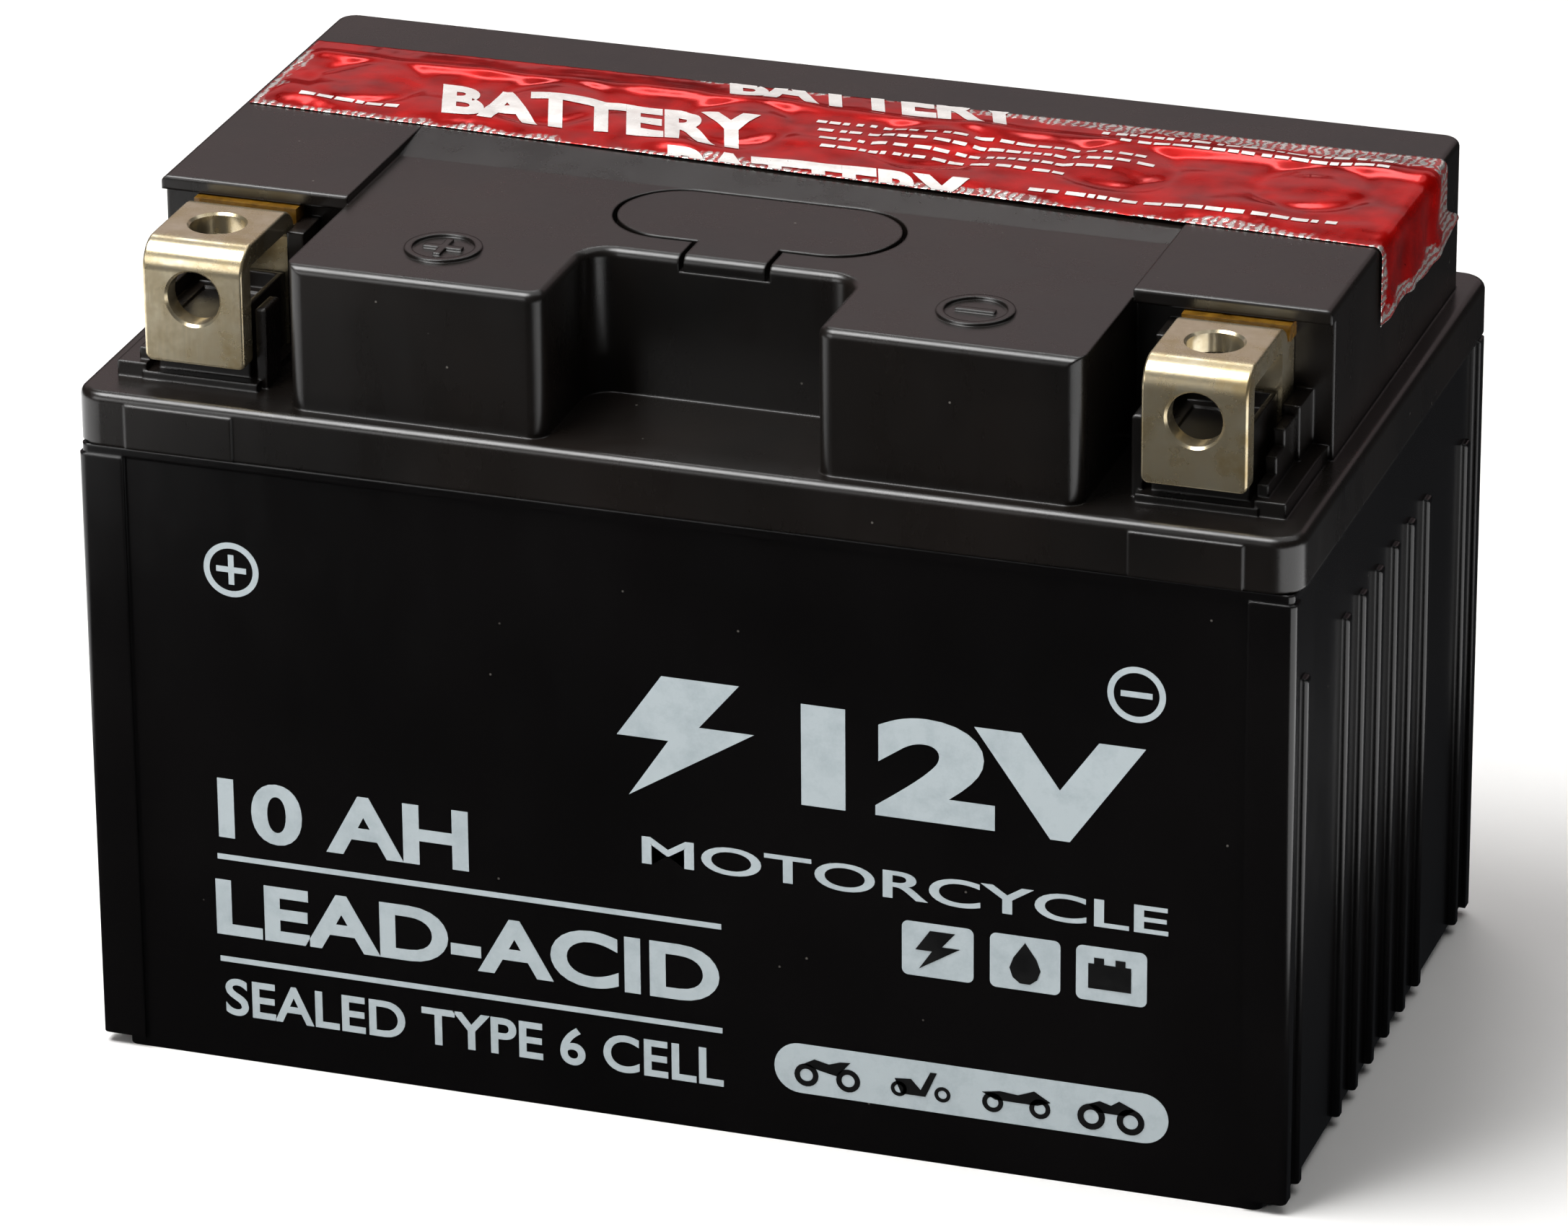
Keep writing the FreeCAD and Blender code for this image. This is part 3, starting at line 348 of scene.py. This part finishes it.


# rolled aluminium foil under clear red lacquer: red folds that mirror the lights, with painted shade deepening
# the red in their hollows, and bare silver ticks along the crimped edges
def makeFoilLook():
    material, tree, surface, place = newMaterial("aluminium foil red lacquer")
    band = addNode(tree, "ShaderNodeUVMap", {"uv_map": "band"}).outputs["UV"]
    parts = addNode(tree, "ShaderNodeSeparateXYZ", None, {0: band})
    along, across = parts.outputs["X"], parts.outputs["Y"]
    sides = [across, along]
    for size, gone in ((foil["flatWidth"], across), (foil["flatLength"], along)):
        left = addNode(tree, "ShaderNodeMath", {"operation": "SUBTRACT", 0: size * mm}, {1: gone})
        sides.append(left.outputs[0])
    nearest = across
    for side in sides[1:]:
        nearest = addNode(tree, "ShaderNodeMath", {"operation": "MINIMUM"}, {0: nearest, 1: side}).outputs[0]
    spots = lumps(tree, place, foilPaint["bareSpot"], detail=4)
    margin = addNode(tree, "ShaderNodeMapRange", onto(*(reach * mm for reach in foilPaint["bareMargin"])),
                     {"Value": spots}).outputs["Result"]
    inner = addNode(tree, "ShaderNodeMath", {"operation": "SUBTRACT"}, {0: nearest, 1: margin}).outputs[0]
    bare = addNode(tree, "ShaderNodeMapRange", onto(1, 0, *(reach * mm for reach in foilPaint["bareFade"])),
                   {"Value": inner}).outputs["Result"]
    waveScale = math.pi / 10 / (foilPaint["tick"] * mm)    # a wave repeats every pi / 10 at scale 1
    ticks = addNode(tree, "ShaderNodeTexWave", {"Scale": waveScale, "Distortion": 7.0, "Detail": 3.0,
                                                "Detail Scale": 2.0}, {"Vector": band}).outputs["Fac"]
    sharp = addNode(tree, "ShaderNodeMapRange", onto(0.12, 1, 0.35, 0.6), {"Value": ticks}).outputs["Result"]
    shown = addNode(tree, "ShaderNodeMath", {"operation": "MULTIPLY"}, {0: bare, 1: sharp}).outputs[0]
    crimped = addNode(tree, "ShaderNodeMath", {"operation": "MULTIPLY"}, {0: ticks, 1: bare}).outputs[0]
    crumple = lumps(tree, place, foilPaint["wave"], detail=3, rough=0.5)
    # painted shade: the red goes darker where the crumple that bumps the foil is low, in the fold hollows
    lacquer = shade(tree, crumple, foilPaint["foldShadeRed"], foilPaint["red"])
    tree.links.new(shade(tree, shown, lacquer, foilPaint["silver"], 1, (0, 1)), surface.inputs["Base Color"])
    metal = addNode(tree, "ShaderNodeMapRange", onto(*foilPaint["metallic"], 0, 1), {"Value": shown})
    tree.links.new(metal.outputs["Result"], surface.inputs["Metallic"])
    folds = addNode(tree, "ShaderNodeBump", {"Distance": foilPaint["crumple"] * mm, "Strength": 1.0},
                    {"Height": crumple}).outputs["Normal"]
    finishSurface(tree, surface, crumple, foilPaint["roughness"], crimped, foilPaint["crimp"], folds)
    surface.inputs["Specular IOR Level"].default_value = foilPaint["specular"]
    surface.inputs["Coat Weight"].default_value = foilPaint["coat"]
    surface.inputs["Coat Roughness"].default_value = foilPaint["coatRoughness"]
    return material


seal = makeFoil(makeFoilLook())
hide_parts("foil_seal")
print("stage: foil seal")


ink = {"pale": "#a9b3b7", "worn": "#949fa4", "black": "#070707", "blackWorn": "#0d0c0c",
       "window": (0.45, 0.8), "roughness": (0.4, 0.6), "patch": 4, "grain": 0.25, "depth": 0.01,
       "thickness": 0.06}
panelDepth = 0.6    # from the faces of the container's corner posts back to its printed panel
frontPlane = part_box("container")[0].y / mm + panelDepth

frontPrint = {
    # words, left end, bottom, right end, top, and how much the strokes are fattened
    "words": [
        ("12V", 15.2, 44.4, 57.0, 57.6, 0.05),
        ("MOTORCYCLE", -4.7, 34.0, 59.9, 37.6, 0.012),
        ("10 AH", -58.6, 29.6, -26.6, 37.6, 0.03),
        ("LEAD-ACID", -59.3, 16.6, 4.8, 24.1, 0.03),
        ("SEALED TYPE 6 CELL", -58.5, 5.9, 5.2, 10.9, 0.018),
    ],
    "rules": [(-58.9, 5.1, 27.1), (-59.0, 5.1, 13.4)],    # left end, right end, height
    "ruleHalf": 0.35,
    "plus": (-55.8, 65.0), "minus": (55.8, 64.2),
    "signOuter": 3.5, "signInner": 2.75, "signReach": 1.9, "signHalf": 0.36,
    "tiles": [(27.5, 36.3), (38.3, 46.9), (48.8, 57.4)],  # left and right side of each tile
    "tileLow": 24.4, "tileHigh": 31.4, "tileRound": 0.8,
    "strip": (11.6, 6.7, 60.2, 13.2), "stripRound": 3.2,
    "axleHeight": 9.2, "bodyBase": 9.0, "hub": 0.55,      # hub: a wheel's hole as a share of it
}


# screen printing ink, laid on thin: flat pale grey, patchy where it has worn
def makeInk(name, first, second):
    material, tree, surface, place = newMaterial(name)
    patchy = lumps(tree, place, ink["patch"], detail=5, rough=0.7)
    grain = lumps(tree, place, ink["grain"], detail=2)
    tree.links.new(shade(tree, patchy, first, second, 1, ink["window"]), surface.inputs["Base Color"])
    finishSurface(tree, surface, patchy, ink["roughness"], grain, ink["depth"])
    return material


paleInk = makeInk("screen ink pale grey", ink["pale"], ink["worn"])
darkInk = makeInk("screen ink black", ink["black"], ink["blackWorn"])


# a flat shape on the front panel from its outline in x and z, level 1 being printed over level 0
def flatShape(mesh, outline, level=0):
    y = frontPlane - level * ink["thickness"]
    verts = [mesh.verts.new((x * mm, y * mm, z * mm)) for x, z in outline]
    face = mesh.faces.new(verts)
    raised = bmesh.ops.extrude_face_region(mesh, geom=[face])
    moved = [item for item in raised["geom"] if isinstance(item, bmesh.types.BMVert)]
    bmesh.ops.translate(mesh, verts=moved, vec=(0, -ink["thickness"] * mm, 0))


def rectangle(left, low, right, high):
    return [(left, low), (right, low), (right, high), (left, high)]


def roundedRectangle(left, low, right, high, radius, steps=8):
    outline = []
    for corner, (x, z) in enumerate(((right - radius, high - radius), (left + radius, high - radius),
                                     (left + radius, low + radius), (right - radius, low + radius))):
        for step in range(steps + 1):
            angle = math.radians(90 * (corner + step / steps))
            outline.append((x + radius * math.cos(angle), z + radius * math.sin(angle)))
    return outline


# a flat ring, made of short pieces
def ringPieces(mesh, x, z, outer, inner, level=0, steps=40):
    for step in range(steps):
        first, second = (2 * math.pi * (step + turn) / steps for turn in (0, 1))
        corners = ((inner, first), (outer, first), (outer, second), (inner, second))
        outline = [(x + radius * math.cos(angle), z + radius * math.sin(angle)) for radius, angle in corners]
        flatShape(mesh, outline, level)


# a word as a flat mesh, stretched to fill a rectangle given in millimetres
def wordMesh(text, fatten, thick, left, low, right, high):
    curve = bpy.data.curves.new("lettering", "FONT")
    curve.body = text
    curve.size = 1
    curve.offset = fatten
    curve.extrude = thick
    curve.resolution_u = 6
    font = bpy.data.objects.new("lettering", curve)
    scene.collection.objects.link(font)
    bpy.context.view_layer.update()
    data = bpy.data.meshes.new_from_object(font.evaluated_get(bpy.context.evaluated_depsgraph_get()))
    bpy.data.objects.remove(font)
    mesh = bmesh.new()
    mesh.from_mesh(data)
    bpy.data.meshes.remove(data)
    lowX, highX = (pick(vert.co.x for vert in mesh.verts) for pick in (min, max))
    lowY, highY = (pick(vert.co.y for vert in mesh.verts) for pick in (min, max))
    for vert in mesh.verts:
        vert.co.x = left + (right - left) * (vert.co.x - lowX) / (highX - lowX)
        vert.co.y = low + (high - low) * (vert.co.y - lowY) / (highY - lowY)
    return mesh


def printWord(number, text, left, low, right, high, fatten):
    mesh = wordMesh(text, fatten, 0.5, left, low, right, high)
    for vert in mesh.verts:
        front = ink["thickness"] if vert.co.z > 0 else 0
        vert.co = Vector((vert.co.x, frontPlane - front, vert.co.y)) * mm
    bmesh.ops.remove_doubles(mesh, verts=mesh.verts, dist=1e-6)
    finishPiece(mesh, f"printWord{number}", paleInk, "battery")


for number, word in enumerate(frontPrint["words"], 1):
    printWord(number, *word)


def printSign(mesh, place, upright):
    x, z = place
    reach, half = frontPrint["signReach"], frontPrint["signHalf"]
    ringPieces(mesh, x, z, frontPrint["signOuter"], frontPrint["signInner"])
    flatShape(mesh, rectangle(x - reach, z - half, x + reach, z + half))
    if upright:
        for low, high in ((-reach, -half), (half, reach)):
            flatShape(mesh, rectangle(x - half, z + low, x + half, z + high))


marks = bmesh.new()
ruleHalf = frontPrint["ruleHalf"]
for left, right, height in frontPrint["rules"]:
    flatShape(marks, rectangle(left, height - ruleHalf, right, height + ruleHalf))
printSign(marks, frontPrint["plus"], True)
printSign(marks, frontPrint["minus"], False)
finishPiece(marks, "printMarks", paleInk, "battery")

# a plain lightning bolt
bolt = [(-2.0, 58.6), (7.6, 58.6), (2.6, 52.6), (9.4, 52.6), (-6.2, 42.8), (-1.2, 50.4), (-7.6, 50.4)]
boltMesh = bmesh.new()
flatShape(boltMesh, bolt)
finishPiece(boltMesh, "printBolt", paleInk, "battery")

# three small tiles and one long strip
badge = bmesh.new()
for left, right in frontPrint["tiles"]:
    flatShape(badge, roundedRectangle(left, frontPrint["tileLow"], right, frontPrint["tileHigh"],
                                      frontPrint["tileRound"]))
flatShape(badge, roundedRectangle(*frontPrint["strip"], frontPrint["stripRound"]))
finishPiece(badge, "printBadges", paleInk, "battery")

# what stands on the tiles: a small bolt, a drop, and a battery with its two terminals
smallBolt = {"scale": 0.32, "x": 31.6, "z": 11.7}
drop = [(42.6, 30.6), (41.2, 28.6), (40.7, 27.2), (41.1, 26.0), (42.0, 25.3), (43.2, 25.3), (44.1, 26.0),
        (44.5, 27.2), (44.0, 28.6)]
smallBattery = [(50.3, 26.0, 55.5, 29.2), (51.0, 29.2, 52.2, 30.0), (53.6, 29.2, 54.8, 30.0)]

# what stands on the strip, each body drawn from the middle between its wheels
vehicles = [
    {"middle": 18.2, "wheel": 1.5, "gap": 2.6,
     "body": [(-3.0, 1.6), (-0.8, 1.0), (1.2, 0.6), (2.9, 2.6), (1.6, 2.5), (0.2, 2.0), (-1.6, 2.4)]},
    {"middle": 29.8, "wheel": 1.0, "gap": 2.7,
     "body": [(-3.2, 1.5), (-2.4, -0.4), (0.6, -0.4), (2.0, 2.9), (1.2, 2.9), (0.0, 0.4), (-1.2, 1.7)]},
    {"middle": 41.6, "wheel": 1.3, "gap": 2.9,
     "body": [(-4.2, 1.4), (-2.6, 0.6), (2.6, 0.6), (4.2, 1.2), (2.2, 2.4), (0.2, 1.6), (-2.0, 1.8)]},
    {"middle": 53.2, "wheel": 1.7, "gap": 2.4,
     "body": [(-2.8, 1.8), (-1.4, 0.9), (1.6, 0.9), (3.0, 1.8), (1.0, 2.7), (0.0, 2.0), (-1.4, 2.4)]},
]
pictures = bmesh.new()
flatShape(pictures, [(x * smallBolt["scale"] + smallBolt["x"], z * smallBolt["scale"] + smallBolt["z"])
                     for x, z in bolt], 1)
flatShape(pictures, drop, 1)
for sides in smallBattery:
    flatShape(pictures, rectangle(*sides), 1)
for vehicle in vehicles:
    wheel = vehicle["wheel"]
    for side in (-1, 1):
        ringPieces(pictures, vehicle["middle"] + side * vehicle["gap"], frontPrint["axleHeight"], wheel,
                   wheel * frontPrint["hub"], 1, 20)
    flatShape(pictures, [(vehicle["middle"] + x, frontPrint["bodyBase"] + z) for x, z in vehicle["body"]], 1)
finishPiece(pictures, "printPictures", darkInk, "battery")
print("stage: front print")


# silver print on the foil: one plain word three times, two of them cut by its edges, and rows of dashes
# words: text, left end, front, right end, back; rows: left end, y, right end, width of the line
foilPrint = {
    "cell": 0.8, "over": 0.09, "thickness": 0.02, "lean": -0.35, "fatten": 0.045,
    "words": [("BATTERY", -49.0, 7.8, -8.0, 17.8), ("BATTERY", -17.5, 24.4, 20.5, 33.0),
              ("BATTERY", -16.0, -3.0, 22.0, 5.9)],
    "rows": [(-3, 18.6, 38, 0.8), (-2, 16.0, 40, 0.8), (-1, 13.4, 34, 0.8), (0, 10.8, 30, 0.8),
             (31, 25.0, 67, 0.9), (34, 22.6, 66, 0.7), (28, 4.6, 66, 0.9), (-66, 8.3, -54, 0.9)],
    "dash": (0.7, 2.4), "spaces": (0.35, 0.35, 0.9), "seed": 7,
    "silver": "#e4e2de", "dull": "#c9c3bf", "roughness": (0.25, 0.45), "patch": 1.5, "depth": 0.02,
    "metallic": 0.35,
}


# screen printing ink with aluminium flakes: pale silver with a soft shine
def makeSilverInk():
    material, tree, surface, place = newMaterial("screen ink silver")
    patchy = lumps(tree, place, foilPrint["patch"], detail=4)
    tree.links.new(shade(tree, patchy, foilPrint["silver"], foilPrint["dull"]), surface.inputs["Base Color"])
    finishSurface(tree, surface, patchy, foilPrint["roughness"], patchy, foilPrint["depth"])
    surface.inputs["Metallic"].default_value = foilPrint["metallic"]
    return material


# cuts a flat shape in x and y into small cells, trims it to the foil and lays it on
def layOnFoil(mesh, name, material):
    low = [min(vert.co[axis] for vert in mesh.verts) for axis in (0, 1)]
    high = [max(vert.co[axis] for vert in mesh.verts) for axis in (0, 1)]
    for axis, side in enumerate((Vector((1, 0, 0)), Vector((0, 1, 0)))):
        place = math.ceil(low[axis] / foilPrint["cell"]) * foilPrint["cell"]
        while place < high[axis]:
            bmesh.ops.bisect_plane(mesh, geom=mesh.verts[:] + mesh.edges[:] + mesh.faces[:], dist=1e-5,
                                   plane_co=side * place, plane_no=side)
            place += foilPrint["cell"]
    frontLeft, backLeft = foilEdges(0)
    frontRight, backRight = foilEdges(foilRun)
    for start, stop, outward in ((frontLeft, frontRight, -1), (backLeft, backRight, 1)):
        slope = (stop - start) / foilRun
        bmesh.ops.bisect_plane(mesh, geom=mesh.verts[:] + mesh.edges[:] + mesh.faces[:], dist=1e-5,
                               plane_co=Vector((foil["left"], start, 0)), clear_outer=True,
                               plane_no=Vector((-slope * outward, outward, 0)))
    for vert in mesh.verts:
        along = vert.co.x - foil["left"]
        front, back = foilEdges(along)
        vert.co = foilPoint(along, vert.co.y, (vert.co.y - front) / (back - front), foilPrint["over"])
    bmesh.ops.solidify(mesh, geom=mesh.faces[:], thickness=foilPrint["thickness"] * mm)
    return finishPiece(mesh, name, material, "foil")


# a row of dashes where a line of small print would be
def dashRow(mesh, dice, left, y, right, height):
    x = left
    while x < right:
        width = dice.uniform(*foilPrint["dash"])
        corners = ((x, y), (x + width, y), (x + width, y + height), (x, y + height))
        mesh.faces.new([mesh.verts.new((cornerX, cornerY, 0)) for cornerX, cornerY in corners])
        x += width + dice.choice(foilPrint["spaces"])


silverInk = makeSilverInk()
for number, (text, left, low, right, high) in enumerate(foilPrint["words"], 1):
    word = wordMesh(text, foilPrint["fatten"], 0.0, left, low, right, high)
    for vert in word.verts:
        vert.co.x += foilPrint["lean"] * (vert.co.y - (low + high) / 2)
    layOnFoil(word, f"foilWord{number}", silverInk)
dashes = bmesh.new()
dice = random.Random(foilPrint["seed"])
for row in foilPrint["rows"]:
    dashRow(dashes, dice, *row)
layOnFoil(dashes, "foilDashes", silverInk)
print("stage: foil print")


# size: half a side, in metres
floor = {"size": 3.0, "colour": "#f1f0ee", "second": "#eae9e7", "roughness": (0.5, 0.65), "cloud": 60}


# board with matt white paint: almost even white with soft shadows
def makeFloor():
    material, tree, surface, place = newMaterial("painted board white")
    cloudy = lumps(tree, place, floor["cloud"], detail=4)
    tree.links.new(shade(tree, cloudy, floor["colour"], floor["second"]), surface.inputs["Base Color"])
    finishSurface(tree, surface, cloudy, floor["roughness"])
    mesh = bmesh.new()
    bmesh.ops.create_grid(mesh, x_segments=1, y_segments=1, size=floor["size"])
    data = bpy.data.meshes.new("studioFloor")
    mesh.to_mesh(data)
    mesh.free()
    data.materials.append(material)
    board = bpy.data.objects.new("studioFloor", data)
    scene.collection.objects.link(board)
    board.visible_glossy = False


makeFloor()

# each panel: its middle, what it points at and its two sides in metres, and how bright its face is
# a matt panel lights the pieces but doesn't show in their gloss
lights = {
    "overFront": {"place": (-0.32, -0.25, 0.95), "aim": (0, 0, 0.09), "size": (0.55, 0.5), "bright": 15},
    "overSoft": {"place": (0.2, 0.3, 1.1), "aim": (0, 0, 0.09), "size": (1.2, 0.9), "bright": 1.2},
    "backSheen": {"place": (-0.5, 1.5, 0.75), "aim": (0, 0, 0.09), "size": (2.4, 0.7), "bright": 0.42,
                  "tint": (1.0, 0.78, 0.79)},
    "streak": {"place": (-0.38, 0.81, 1.04), "aim": (0, 0, 0.1), "size": (0.6, 0.14), "bright": 7},
    "frontLeft": {"place": (-0.75, -1.1, 0.5), "aim": (0, 0, 0.06), "size": (0.7, 0.6), "bright": 4},
    "cardRight": {"place": (0.38, -0.14, 0.004), "aim": (0.38, -0.14, 1), "size": (0.5, 0.45),
                  "bright": 2.2},
    "ceiling": {"place": (0.1, -0.3, 2.4), "aim": (0.1, -0.3, 0), "size": (4, 4), "bright": 0.45,
                "matt": True},
    "cardLeft": {"place": (-0.36, 0.0, 0.004), "aim": (-0.36, 0, 1), "size": (0.4, 0.6), "bright": 2},
}


def addLight(name, values):
    light = bpy.data.lights.new(name, "AREA")
    light.shape = "RECTANGLE"
    light.size, light.size_y = values["size"]
    light.color = values.get("tint", (1, 1, 1))
    light.energy = values["bright"] * math.pi * light.size * light.size_y
    lamp = bpy.data.objects.new(name, light)
    scene.collection.objects.link(lamp)
    lamp.location = values["place"]
    towards = Vector(values["aim"]) - Vector(values["place"])
    lamp.rotation_euler = towards.to_track_quat("-Z", "Y").to_euler()
    lamp.visible_camera = False
    lamp.visible_glossy = not values.get("matt", False)


for lightName, values in lights.items():
    addLight(lightName, values)

room = {"colour": "#c4c8cf", "strength": 0.04}
world = bpy.data.worlds.new("studio")
world.use_nodes = True
world.node_tree.nodes["Background"].inputs["Color"].default_value = linear(room["colour"])
world.node_tree.nodes["Background"].inputs["Strength"].default_value = room["strength"]
scene.world = world

# place in metres, turns in degrees, lens and sensor in millimetres
camera = {"place": (0.307603, -0.906755, 0.473520), "azimuth": 18.8102, "elevation": 23.9312,
          "roll": -0.4494, "lens": 198.136, "sensor": 36}


def addCamera():
    data = bpy.data.cameras.new("viewer")
    data.sensor_width = camera["sensor"]
    data.lens = camera["lens"]
    data.clip_start, data.clip_end = 0.05, 20
    viewer = bpy.data.objects.new("viewer", data)
    scene.collection.objects.link(viewer)
    turn, lift, roll = (math.radians(camera[key]) for key in ("azimuth", "elevation", "roll"))
    back = Vector((math.sin(turn) * math.cos(lift), -math.cos(turn) * math.cos(lift), math.sin(lift)))
    right = Vector((math.cos(turn), math.sin(turn), 0))
    up = back.cross(right)
    sideways = right * math.cos(roll) + up * math.sin(roll)
    upright = up * math.cos(roll) - right * math.sin(roll)
    axes = Matrix((sideways, upright, back)).transposed()
    viewer.matrix_world = Matrix.Translation(camera["place"]) @ axes.to_4x4()
    scene.camera = viewer


addCamera()
scene.view_settings.view_transform = "Standard"
print("stage: floor, light, camera")
